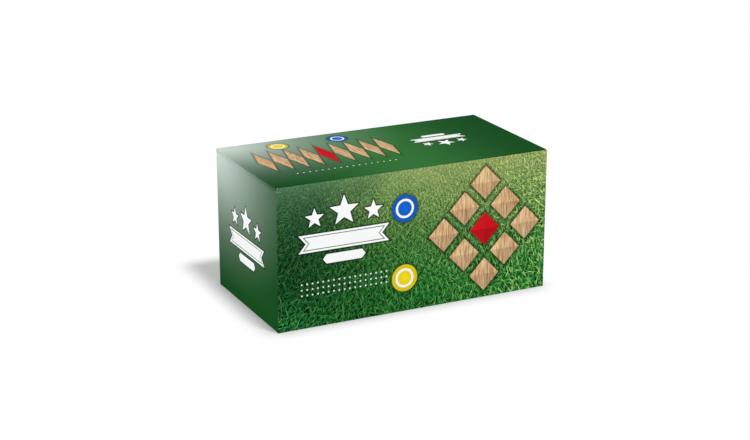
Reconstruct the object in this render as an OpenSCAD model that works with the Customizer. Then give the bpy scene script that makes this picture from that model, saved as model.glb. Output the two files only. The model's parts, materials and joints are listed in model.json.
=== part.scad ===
// Boxed wooden bowling set: nine turned pins and two balls in a folded
// tuck-top carton. Millimetres. +Z up, X along the carton, front at -Y,
// origin at the centre of the underside.

/* [Board] */
// Thickness of the printed micro-flute board
board_t = 1.2; // [0.8:0.1:2]
// Clearance beside every fold that moves
fold_gap = 0.3; // [0.2:0.05:0.5]
// Clearance between the lid's front fold and the front panel
lid_clear = 0.4; // [0.3:0.1:0.8]
// Gap of the seam between the two long bottom flaps
seam_gap = 0.6; // [0.2:0.1:2]
// Clearance at the cut ends of the bottom flaps and the glue flap
trim_gap = 0.5; // [0.3:0.1:1.5]
// Width of the glued corner flap
glue_w = 24; // [15:1:30]

/* [Lid] */
// Length of the tuck flap from its fold to its tip
tuck_l = 20; // [14:1:26]
// Inward lean of the tuck flap, in degrees
tuck_lean = 8; // [7:0.5:12]
// Corner radius of the tuck flap
tuck_r = 11; // [4:1:14]
// Side clearance of the tuck flap
tuck_side = 1.6; // [1:0.1:3]
// Length of each dust flap from its fold to its tip
dust_l = 70; // [40:1:74]
// Taper of the dust flap's front edge, in degrees
dust_taper = 15; // [5:1:25]
// Clearance round the dust flap's root
dust_relief = 1.0; // [0.8:0.1:2]

/* [Pins] */
// Height of a pin
pin_h = 218; // [200:1:240]
// Greatest diameter of a pin
belly_d = 49; // [44:0.5:56]
// Height of the widest place, as a share of the pin's height
belly_at = 0.3; // [0.26:0.01:0.36]
// Diameter of the foot
foot_d = 31; // [24:0.5:38]
// Radius of the foot's rounded edge
foot_r = 2; // [1:0.5:4]
// Least diameter of the neck
neck_d = 23; // [18:0.5:28]
// Height of the narrowest place, as a share of the pin's height
neck_at = 0.735; // [0.7:0.005:0.76]
// Radius of the swelling above the widest place
shoulder_r = 140; // [110:5:180]
// Radius of the hollow above the narrowest place
throat_r = 58; // [40:2:90]
// Diameter of the ball-shaped head
head_d = 35; // [30:0.5:40]
// Diameter across the collar bead
collar_d = 30; // [27:0.5:34]
// Thickness of the collar bead
collar_t = 5.6; // [4:0.2:7]
// Distance from the head's centre down to the collar bead's middle
collar_drop = 24.5; // [22:0.5:28]
// Diameter at the groove between the collar and the head
groove_d = 21; // [16:0.5:24]

/* [Balls] */
// Diameter of a ball
ball_d = 70; // [60:1:76]

/* [Packing] */
// Air between pieces that lie against each other
seat_gap = 0.3; // [0.2:0.05:0.5]
// How far the middle layer of pins lies in front of the other two
stagger = 10.2; // [6:0.2:16]
// Air between the top pins and the dust flaps
head_room = 3.1; // [2:0.1:10]
// Length of the end bay that holds the balls
bay_l = 92.8; // [80:0.2:120]

/* [Hidden] */
$fn = 96;
belly_r = belly_d / 2;
pitch = belly_d + seat_gap;
rise = sqrt(pitch * pitch - stagger * stagger);
floor_z = 2 * board_t;
// outer size, from what the carton holds
box_l = 2 * board_t + seat_gap + pin_h + bay_l;
box_d = 2 * board_t + 2 * seat_gap + belly_d + 2 * pitch + stagger;
box_h = floor_z + seat_gap + belly_d + 2 * rise + head_room
      + 2 * board_t + fold_gap;
in_x = box_l / 2 - board_t;
in_y = box_d / 2 - board_t;
// tops of the walls under the moving folds
front_top = box_h - fold_gap;
back_top = box_h - board_t - fold_gap;
end_top = box_h - 2 * board_t - 2 * fold_gap;
// fold axes: mid-planes of the boards that meet there
fold_r = board_t / 2;
lid_y = box_d / 2 - fold_r;
lid_z = box_h - fold_r;
tuck_y = -in_y + lid_clear + fold_r;
dust_x = box_l / 2 - fold_r;
dust_z = box_h - board_t - fold_gap - fold_r;
// dust flap between the lid's fold and the leaning tuck flap
dust_back = lid_y - fold_r - dust_relief;
dust_front = tuck_y + fold_r / cos(tuck_lean)
           + (1.5 * board_t + fold_gap) * tan(tuck_lean) + dust_relief;
// heights along a pin
belly_z = pin_h * belly_at;
neck_z = pin_h * neck_at;
head_z = pin_h - head_d / 2;
collar_z = head_z - collar_drop;
foot_dx = belly_r - foot_d / 2;
foot_dz = belly_z - foot_r;
foot_arc = (foot_dx * foot_dx + foot_dz * foot_dz) / (2 * foot_dx);
// sum of the shoulder's and the waist's radii, so that the arcs are tangent
arc_dx = belly_r - neck_d / 2;
arc_dz = neck_z - belly_z;
arc_sum = (arc_dx * arc_dx + arc_dz * arc_dz) / (2 * arc_dx);
waist_r = arc_sum - shoulder_r;
join_z = belly_z + arc_dz * shoulder_r / arc_sum;
join_x = belly_r - shoulder_r
       + (arc_sum - arc_dx) * shoulder_r / arc_sum;
pin_x = -in_x + seat_gap;
ball_x = in_x - seat_gap - ball_d / 2;
ball_y = in_y - seat_gap - ball_d / 2;
ball_z = floor_z + seat_gap + ball_d / 2;

// outline of the four walls, rounded at the upright folds
module wall_ring() {
    difference() {
        union() {
            square([box_l - 2 * board_t, box_d], center = true);
            square([box_l, box_d - 2 * board_t], center = true);
            for (sx = [-1, 1], sy = [-1, 1])
                translate([sx * in_x, sy * in_y]) circle(r = board_t);
        }
        square([2 * in_x, 2 * in_y], center = true);
    }
}

// wedge that keeps one long wall, mitred at 45 degrees
module long_wedge(side) {
    polygon([[-box_l / 2, side * box_d / 2],
             [box_l / 2, side * box_d / 2],
             [in_x - board_t, side * (in_y - board_t)],
             [-in_x + board_t, side * (in_y - board_t)]]);
}

// wedge that keeps one end wall
module end_wedge(side) {
    polygon([[side * box_l / 2, -box_d / 2],
             [side * box_l / 2, box_d / 2],
             [side * (in_x - board_t), in_y - board_t],
             [side * (in_x - board_t), -in_y + board_t]]);
}

module front_panel() {
    color([0.42, 0.62, 0.22])
    linear_extrude(height = front_top)
        intersection() { wall_ring(); long_wedge(-1); }
}

module back_panel() {
    color([0.20, 0.45, 0.24])
    linear_extrude(height = back_top)
        intersection() { wall_ring(); long_wedge(1); }
}

module left_end_panel() {
    color([0.16, 0.40, 0.22])
    linear_extrude(height = end_top)
        intersection() { wall_ring(); end_wedge(-1); }
}

module right_end_panel() {
    color([0.16, 0.40, 0.22])
    linear_extrude(height = end_top)
        intersection() { wall_ring(); end_wedge(1); }
}

// strip of the back panel, glued inside the right end
module glue_flap() {
    color([0.72, 0.62, 0.47])
    translate([in_x - board_t, in_y - trim_gap - glue_w, floor_z + trim_gap])
        cube([board_t, glue_w, end_top - floor_z - 4 * trim_gap]);
}

// long bottom flaps: the outer layer, butted along the middle
module bottom_long(side) {
    lo = side < 0 ? -in_y : seam_gap / 2;
    translate([-in_x, lo, 0])
        cube([2 * in_x, in_y - seam_gap / 2, board_t]);
}

// short bottom flaps: the inner layer
module bottom_short(side) {
    lo = side < 0 ? -in_x : in_x - box_d / 2 + board_t;
    translate([lo, -in_y + trim_gap, board_t])
        cube([box_d / 2 - board_t, 2 * (in_y - trim_gap), board_t]);
}

module bottom_front_flap() {
    color([0.80, 0.78, 0.72]) bottom_long(-1);
}

module bottom_back_flap() {
    color([0.80, 0.78, 0.72]) bottom_long(1);
}

module bottom_left_flap() {
    color([0.72, 0.62, 0.47]) bottom_short(-1);
}

module bottom_right_flap() {
    color([0.72, 0.62, 0.47]) bottom_short(1);
}

// top panel, with a round bead along its rear fold
module lid_panel() {
    front = tuck_y + fold_r + fold_gap;
    color([0.26, 0.50, 0.30])
    union() {
        translate([-box_l / 2, front, box_h - board_t])
            cube([box_l, lid_y - front, board_t]);
        translate([-box_l / 2, lid_y, lid_z]) rotate([0, 90, 0])
            cylinder(h = box_l, r = fold_r);
    }
}

// tuck flap in its own plane: fold along y = 0, tip at y = tuck_l
module tuck_outline() {
    half = in_x - tuck_side;
    intersection() {
        union() {
            translate([-half, 0]) square([2 * half, tuck_l - tuck_r]);
            translate([-half + tuck_r, 0])
                square([2 * (half - tuck_r), tuck_l]);
            for (sx = [-1, 1])
                translate([sx * (half - tuck_r), tuck_l - tuck_r])
                    circle(r = tuck_r);
        }
        translate([-half, 0]) square([2 * half, tuck_l]);
    }
}

module tuck_flap() {
    half = in_x - tuck_side;
    color([0.26, 0.50, 0.30])
    translate([0, tuck_y, lid_z])
    union() {
        rotate([-90 + tuck_lean, 0, 0])
        translate([0, 0, -fold_r])
            linear_extrude(height = board_t) tuck_outline();
        translate([-half, 0, 0]) rotate([0, 90, 0])
            cylinder(h = 2 * half, r = fold_r);
    }
}

// dust flap: 45 degrees at the rear, a small taper at the front
module dust_flap(side) {
    run = dust_l * tan(dust_taper);
    translate([side * dust_x, 0, dust_z])
    union() {
        translate([0, 0, -fold_r])
        linear_extrude(height = board_t)
            polygon([[0, dust_back], [-side * dust_l, dust_back - dust_l],
                     [-side * dust_l, dust_front + run], [0, dust_front]]);
        translate([0, dust_front, 0]) rotate([-90, 0, 0])
            cylinder(h = dust_back - dust_front, r = fold_r);
    }
}

module dust_flap_left() {
    color([0.16, 0.40, 0.22]) dust_flap(-1);
}

module dust_flap_right() {
    color([0.16, 0.40, 0.22]) dust_flap(1);
}

// half profile of a turned pin, standing on y = 0
module pin_profile() {
    union() {
        // core that ties the turned lengths together
        square([groove_d / 2 - 1, head_z]);
        // foot to the widest place
        intersection() {
            translate([belly_r - foot_arc, belly_z]) circle(r = foot_arc);
            union() {
                translate([0, foot_r]) square([belly_r, belly_z - foot_r]);
                square([foot_d / 2 - foot_r, belly_z]);
                translate([foot_d / 2 - foot_r, foot_r]) circle(r = foot_r);
            }
            square([belly_r, belly_z]);
        }
        // shoulder
        intersection() {
            translate([belly_r - shoulder_r, belly_z])
                circle(r = shoulder_r);
            translate([0, belly_z]) square([belly_r, join_z - belly_z]);
        }
        // waist up to the narrowest place
        difference() {
            translate([0, join_z]) square([join_x, neck_z - join_z]);
            translate([neck_d / 2 + waist_r, neck_z]) circle(r = waist_r);
        }
        // throat up to the collar
        difference() {
            translate([0, neck_z])
                square([collar_d / 2, collar_z - neck_z]);
            translate([neck_d / 2 + throat_r, neck_z]) circle(r = throat_r);
        }
        // collar bead
        translate([collar_d / 2 - collar_t / 2, collar_z])
            circle(r = collar_t / 2);
        translate([0, collar_z - collar_t / 2])
            square([collar_d / 2 - collar_t / 2, collar_t]);
        // groove and head
        translate([0, collar_z])
            square([groove_d / 2, head_z - collar_z]);
        intersection() {
            translate([0, head_z]) circle(r = head_d / 2);
            translate([0, collar_z]) square([head_d, pin_h]);
        }
    }
}

// one pin lying along X, foot to the left; column from the front, layer
// from the bottom
module packed_pin(column, layer) {
    shift = layer % 2 == 0 ? stagger : 0;
    translate([pin_x,
               -in_y + seat_gap + belly_r + column * pitch + shift,
               floor_z + seat_gap + belly_r + layer * rise])
    rotate([0, 90, 0])
    rotate_extrude() pin_profile();
}

module natural_pin(column, layer) {
    color([0.86, 0.68, 0.43]) packed_pin(column, layer);
}

module king_pin() {
    color([0.78, 0.08, 0.07]) packed_pin(1, 2);
}

module pin_2() { natural_pin(0, 0); }
module pin_3() { natural_pin(1, 0); }
module pin_4() { natural_pin(2, 0); }
module pin_5() { natural_pin(0, 1); }
module pin_6() { natural_pin(1, 1); }
module pin_7() { natural_pin(2, 1); }
module pin_8() { natural_pin(0, 2); }
module pin_9() { natural_pin(2, 2); }

module yellow_ball() {
    color([0.95, 0.76, 0.08])
    translate([ball_x, -ball_y, ball_z]) sphere(d = ball_d);
}

module blue_ball() {
    color([0.07, 0.25, 0.66])
    translate([ball_x, ball_y, ball_z]) sphere(d = ball_d);
}

front_panel();
back_panel();
left_end_panel();
right_end_panel();
glue_flap();
bottom_front_flap();
bottom_back_flap();
bottom_left_flap();
bottom_right_flap();
lid_panel();
tuck_flap();
dust_flap_left();
dust_flap_right();
king_pin();
pin_2();
pin_3();
pin_4();
pin_5();
pin_6();
pin_7();
pin_8();
pin_9();
yellow_ball();
blue_ball();
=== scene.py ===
"""Looks of the boxed wooden bowling set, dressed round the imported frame.

The carton is built the way a folded carton is: two paper liners with a wavy
sheet between them in every panel, a round bead at each fold, and a strip of
printed paper that bends over each fold that moves. The pins and the balls are
turned shapes. Everything is in metres, in the frame of the solids, but prints,
grains and turned profiles are drawn in millimetres.
"""

import json
import logging
import math
from dataclasses import dataclass, field
from enum import Enum
from functools import reduce
from typing import Callable, Optional, Sequence, Union

import bmesh
import bpy
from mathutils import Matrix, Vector


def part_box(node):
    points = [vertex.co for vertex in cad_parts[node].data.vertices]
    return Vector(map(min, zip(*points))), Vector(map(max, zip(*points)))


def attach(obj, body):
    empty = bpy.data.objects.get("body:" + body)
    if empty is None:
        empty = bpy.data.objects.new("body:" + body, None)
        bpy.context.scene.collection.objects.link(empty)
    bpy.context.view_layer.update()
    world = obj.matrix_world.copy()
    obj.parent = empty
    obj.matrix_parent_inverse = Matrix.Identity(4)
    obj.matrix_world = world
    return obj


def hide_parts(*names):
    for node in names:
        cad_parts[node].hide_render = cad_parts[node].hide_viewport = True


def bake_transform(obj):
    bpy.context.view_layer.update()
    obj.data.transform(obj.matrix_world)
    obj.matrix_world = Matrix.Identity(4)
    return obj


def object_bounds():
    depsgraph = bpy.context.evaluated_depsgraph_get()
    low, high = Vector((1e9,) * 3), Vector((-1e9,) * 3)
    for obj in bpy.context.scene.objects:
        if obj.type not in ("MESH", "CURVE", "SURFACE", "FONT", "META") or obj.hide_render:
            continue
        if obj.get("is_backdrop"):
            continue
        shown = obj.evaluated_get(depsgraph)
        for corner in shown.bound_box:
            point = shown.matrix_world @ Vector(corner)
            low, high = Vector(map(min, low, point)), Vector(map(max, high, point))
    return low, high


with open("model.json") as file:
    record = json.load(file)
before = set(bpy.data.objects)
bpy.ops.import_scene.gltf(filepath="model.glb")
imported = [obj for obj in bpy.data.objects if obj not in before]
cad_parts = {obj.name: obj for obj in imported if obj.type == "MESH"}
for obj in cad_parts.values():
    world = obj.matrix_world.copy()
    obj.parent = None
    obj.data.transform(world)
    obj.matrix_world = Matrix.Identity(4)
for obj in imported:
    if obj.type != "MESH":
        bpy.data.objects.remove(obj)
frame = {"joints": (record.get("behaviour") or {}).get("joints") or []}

CAD_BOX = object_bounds()
MM = 0.001
FLUTE_PITCH = 2.4
INK, BROWN, RAW = range(3)  # a panel's materials: print, brown liner, cut edge
TINY = 1e-9  # metres, for points that meet apart from rounding
SHARP = math.radians(38)  # turned shapes shade as round up to this angle
X, Y, Z = Vector((1, 0, 0)), Vector((0, 1, 0)), Vector((0, 0, 1))
WHITE = (1.0, 1.0, 1.0)

Point2 = tuple[float, float]
Colour = tuple[float, float, float]
Relief = tuple[float, float]  # a bump's strength, and its depth in metres
Coat = tuple[float, float]  # a clear coat's weight and roughness
Material = bpy.types.Material
Corners = Sequence[bmesh.types.BMVert]
log = logging.getLogger("bowling_set")


def srgb(*levels: int) -> Colour:
    """Turns a colour given from 0 to 255 into the linear one that a shader takes."""
    shares = [level / 255 for level in levels]
    return tuple(s / 12.92 if s <= 0.04045 else ((s + 0.055) / 1.055) ** 2.4 for s in shares)


def steps(low: float, high: float, count: int) -> list[float]:
    """Divides a stretch evenly, with both its ends."""
    return [low + (high - low) * step / count for step in range(count + 1)]


def operation(name: str, swapped: bool = False) -> Callable[..., "Signal"]:
    """Makes an operator that adds one Math node.

    Args:
        name: The node's operation.
        swapped: Whether the other number comes first.

    Returns:
        The operator, a method of Signal.
    """
    def operator(signal: "Signal", *others: "Number") -> "Signal":
        """Adds the node."""
        return signal.graph.maths(name, *((*others, signal) if swapped else (signal, *others)))

    return operator


class Signal:
    """A number or colour that changes over a surface, held by a node socket."""

    __add__ = __radd__ = operation("ADD")
    __mul__ = __rmul__ = operation("MULTIPLY")
    __sub__, __rsub__ = operation("SUBTRACT"), operation("SUBTRACT", swapped=True)
    __truediv__, __rtruediv__ = operation("DIVIDE"), operation("DIVIDE", swapped=True)
    __pow__, __abs__ = operation("POWER"), operation("ABSOLUTE")
    __gt__, __lt__ = operation("GREATER_THAN"), operation("LESS_THAN")
    least, most = operation("MINIMUM"), operation("MAXIMUM")
    floor, nearest, fraction = operation("FLOOR"), operation("ROUND"), operation("FRACT")
    modulo, logarithm = operation("FLOORED_MODULO"), operation("LOGARITHM")
    sine, cosine, bearing = operation("SINE"), operation("COSINE"), operation("ARCTAN2")
    root, exponential = operation("SQRT"), operation("EXPONENT")

    def __init__(self, graph: "Graph", socket: bpy.types.NodeSocket) -> None:
        """Keeps the socket and the graph it belongs to."""
        self.graph, self.socket = graph, socket

    def output(self, key: "Key") -> "Signal":
        """Gives another output of the same node."""
        return Signal(self.graph, self.socket.node.outputs[key])

    def within(self, low: float, high: float) -> "Signal":
        """Holds the number between two limits."""
        return self.most(low).least(high)

    def rise(self, low: float, high: float) -> "Signal":
        """Goes smoothly from 0 at low to 1 at high, which may be the smaller.

        Args:
            low: Where the result is 0.
            high: Where the result is 1.

        Returns:
            The smooth step.
        """
        inputs = {"Value": self, "From Min": min(low, high), "From Max": max(low, high)}
        settings = {"interpolation_type": "SMOOTHSTEP"}
        step = self.graph.node("ShaderNodeMapRange", settings, inputs)
        return step if low < high else 1.0 - step


Number = Union[Signal, float]
Key = Union[int, str]


def length(*parts: Signal) -> Signal:
    """Gives a vector's length from its parts."""
    return reduce(Signal.__add__, [part * part for part in parts]).root()


def ripple(across: Signal) -> Signal:
    """Gives the faint lines of the flutes, 0 to 1."""
    return (across * (math.tau / FLUTE_PITCH)).sine() * 0.5 + 0.5


def inside(distance: Signal, grow: float = 0.0, soft: float = 0.2) -> Signal:
    """Marks the inside of an outline, let out a little and with a soft edge."""
    return distance.rise(grow + soft / 2, grow - soft / 2)


def repeat(along: Signal, count: int, pitch: float) -> tuple[Signal, Signal]:
    """Repeats a place along a row.

    Args:
        along: Place along the row, from its middle.
        count: How many places there are, an odd number.
        pitch: From one to the next.

    Returns:
        The place from the middle of the nearest, and that one's number.
    """
    reach = (count - 1) / 2
    number = (along / pitch).nearest().within(-reach, reach)
    return along - number * pitch, number


class Graph:
    """A node tree, written as expressions."""

    def __init__(self, tree: bpy.types.NodeTree) -> None:
        """Takes over a tree and empties it."""
        self.nodes, self.links = tree.nodes, tree.links
        self.nodes.clear()

    def feed(self, socket: bpy.types.NodeSocket, value: object) -> None:
        """Links or sets one input.

        Args:
            socket: The input.
            value: A signal or a list of them, a number, or a colour or vector.
        """
        if isinstance(value, (Signal, list)):
            for part in value if isinstance(value, list) else [value]:
                self.links.new(part.socket, socket)
        elif isinstance(value, (int, float)):
            socket.default_value = value
        else:
            given = tuple(value)
            socket.default_value = given + (1.0,) * (len(socket.default_value) - len(given))

    def node(
        self, kind: str, settings: Optional[dict] = None,
        inputs: Optional[dict] = None, output: Key = 0,
    ) -> Signal:
        """Adds any node.

        Args:
            kind: The node's type.
            settings: Its own properties, set first.
            inputs: What goes into its sockets, by name or place.
            output: Which output is wanted.

        Returns:
            The wanted output, or nothing for a node that has none.
        """
        made = self.nodes.new(kind)
        for name, value in (settings or {}).items():
            setattr(made, name, value)
        for key, value in (inputs or {}).items():
            self.feed(made.inputs[key], value)
        return Signal(self, made.outputs[output]) if made.outputs else None

    def maths(self, name: str, *values: Number) -> Signal:
        """Adds a Math node."""
        return self.node("ShaderNodeMath", {"operation": name}, dict(enumerate(values)))

    def blend(self, share: Number, below: object, above: object) -> Signal:
        """Mixes two colours by the share of the upper one."""
        inputs = {0: share, 6: below, 7: above}
        return self.node("ShaderNodeMix", {"data_type": "RGBA"}, inputs, 2)

    def dim(self, colour: object, level: Number) -> Signal:
        """Multiplies a colour or vector by a number."""
        inputs = {0: colour, "Scale": level}
        return self.node("ShaderNodeVectorMath", {"operation": "SCALE"}, inputs)

    def vector(self, *parts: Number) -> Signal:
        """Joins three numbers."""
        return self.node("ShaderNodeCombineXYZ", {}, dict(enumerate(parts)))

    def parts(self, whole: Signal, kind: str = "XYZ") -> list[Signal]:
        """Takes a vector apart, or with the kind Color a colour."""
        split = self.node(f"ShaderNodeSeparate{kind}", {}, {0: whole})
        return [split.output(part) for part in range(3)]

    def place(self, scale: float = 1.0 / MM) -> list[Signal]:
        """Gives the place on the object, in millimetres unless the scale says otherwise."""
        return self.parts(self.dim(self.node("ShaderNodeTexCoord", output="Object"), scale))

    def noise(
        self, point: Sequence[Number], scale: float, detail: float = 2.0, rough: float = 0.5
    ) -> Signal:
        """Adds soft noise, 0 to 1, by its fineness, its finer layers and their strength."""
        inputs = {"Scale": scale, "Detail": detail, "Roughness": rough}
        return self.node("ShaderNodeTexNoise", {}, {"Vector": self.vector(*point), **inputs})

    def seen(self) -> Signal:
        """Marks with 1 what the camera sees, also mirrored in or through something."""
        path, rays = self.node("ShaderNodeLightPath"), ("Camera", "Glossy", "Transmission")
        return reduce(Signal.most, [path.output(f"Is {ray} Ray") for ray in rays])


class Finish(Graph):
    """One material's graph, with a Principled shader."""

    def __init__(self, name: str) -> None:
        """Starts a material.

        Args:
            name: The material's name.
        """
        self.made = bpy.data.materials.new(name)
        self.made.use_nodes = True
        super().__init__(self.made.node_tree)
        self.shader = self.node("ShaderNodeBsdfPrincipled")

    def bump(self, height: Signal, relief: Relief) -> None:
        """Feeds a height, 0 to 1, to the shader's normal."""
        inputs = {"Strength": relief[0], "Distance": relief[1], "Height": height}
        self.feed(self.shader.socket.node.inputs["Normal"], self.node("ShaderNodeBump", {}, inputs))

    def finish(
        self, surface: Optional[Signal] = None, coat: Optional[Coat] = None, **sockets: object
    ) -> Material:
        """Sets the shader's own sockets and ends the material.

        Args:
            surface: What the material ends with, if not the shader itself.
            coat: The clear coat, if there is one.
            sockets: Other values by socket name, with _ for a space.

        Returns:
            The finished material.
        """
        if coat:
            sockets["Coat_Weight"], sockets["Coat_Roughness"] = coat
        for name, value in sockets.items():
            self.feed(self.shader.socket.node.inputs[name.replace("_", " ")], value)
        self.node("ShaderNodeOutputMaterial", {}, {"Surface": surface or self.shader})
        return self.made


@dataclass(frozen=True)
class CartonSize:
    """Outer size of the carton and the thickness of its board, from the solids."""

    length: float = CAD_BOX[1].x - CAD_BOX[0].x
    depth: float = CAD_BOX[1].y - CAD_BOX[0].y
    height: float = CAD_BOX[1].z - CAD_BOX[0].z
    board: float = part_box("bottom_front_flap")[1].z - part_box("bottom_front_flap")[0].z

    @property
    def in_x(self) -> float:
        """Half the inner length."""
        return self.length / 2 - self.board

    @property
    def in_y(self) -> float:
        """Half the inner depth."""
        return self.depth / 2 - self.board

    @property
    def halves(self) -> list[float]:
        """Half of each outer size, in millimetres."""
        return [size / MM / 2 for size in (self.length, self.depth, self.height)]


SIZE = CartonSize()


class Face(Enum):
    """Faces of the carton: name, axis and sense across, axis and sense up."""

    FRONT = ("front", 0, 1, 2, 1)
    BACK = ("back", 0, -1, 2, 1)
    LEFT = ("left", 1, -1, 2, 1)
    RIGHT = ("right", 1, 1, 2, 1)
    TOP = ("top", 0, -1, 1, -1)
    UNDER = ("under", 0, 1, 1, 1)


LONG_WALLS = (Face.FRONT, Face.BACK)


def star(x: Signal, y: Signal, tip: float, waist: float = 0.42) -> Signal:
    """Draws a five-pointed star.

    Args:
        x: Place across from its middle.
        y: Place up from there.
        tip: From the middle to a point.
        waist: From the middle to an inner corner, as a share of that.

    Returns:
        The distance to its outline, negative inside.
    """
    arm = math.tau / 5
    edge = Vector((math.sin(arm / 2), math.cos(arm / 2))) * waist * tip - Vector((0.0, tip))
    normal = Vector((-edge.y, edge.x)).normalized()
    folded = abs((x.bearing(y) + arm / 2).modulo(arm) - arm / 2)
    radius = length(x, y)
    gap = radius * folded.sine() * normal.x + (radius * folded.cosine() - tip) * normal.y
    return gap.most(radius - tip)


def ribbon(x: Signal, y: Signal, half: Point2, notch: float) -> Signal:
    """Draws a plain ribbon with notched ends.

    Args:
        x: Place across from its middle.
        y: Place up from there.
        half: Half its width and height.
        notch: How deep the ends are cut in.

    Returns:
        The distance to its outline, negative inside.
    """
    end = abs(x) - (half[0] - notch) - abs(y) * (notch / half[1])
    return (end * (half[1] / math.hypot(notch, half[1]))).most(abs(y) - half[1])


@dataclass(frozen=True)
class Inks:
    """Colours of the carton's print."""

    white: Colour = (0.94, 0.95, 0.94)
    outline: Colour = srgb(14, 40, 22)
    red: Colour = srgb(206, 22, 34)
    red_deep: Colour = srgb(120, 8, 14)
    yellow: Colour = srgb(240, 214, 34)
    blue: Colour = srgb(24, 98, 200)
    tans: tuple[Colour, Colour] = (srgb(230, 196, 150), srgb(160, 108, 66))
    green_deep: Colour = srgb(14, 72, 27)
    green_mid: Colour = srgb(50, 112, 54)
    # painted glare: the pale colour of a highlight painted at one corner of the top and the left
    # end
    mist: Colour = srgb(213, 226, 217)
    haze: Colour = srgb(168, 226, 178)
    lawn_left: Colour = srgb(17, 74, 33)
    lawn_low: Colour = srgb(40, 110, 46)
    lawn_high: Colour = srgb(142, 164, 98)
    straw: Colour = srgb(206, 204, 120)


@dataclass(frozen=True)
class EmblemSize:
    """Sizes of the stars, ribbon and bar, with heights from the emblem's middle."""

    big_star: Point2 = (19.0, 17.0)  # height and size
    side_star: Point2 = (15.0, 11.0)
    star_gap: float = 33.0
    band_at: float = -11.0
    band_half: Point2 = (51.0, 9.5)
    band_notch: float = 8.0
    bar_at: float = -30.0
    bar_half: Point2 = (20.0, 5.0)
    bar_notch: float = -4.0
    rim: float = 1.4
    line_in: float = 2.6
    line_half: float = 0.45


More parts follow.
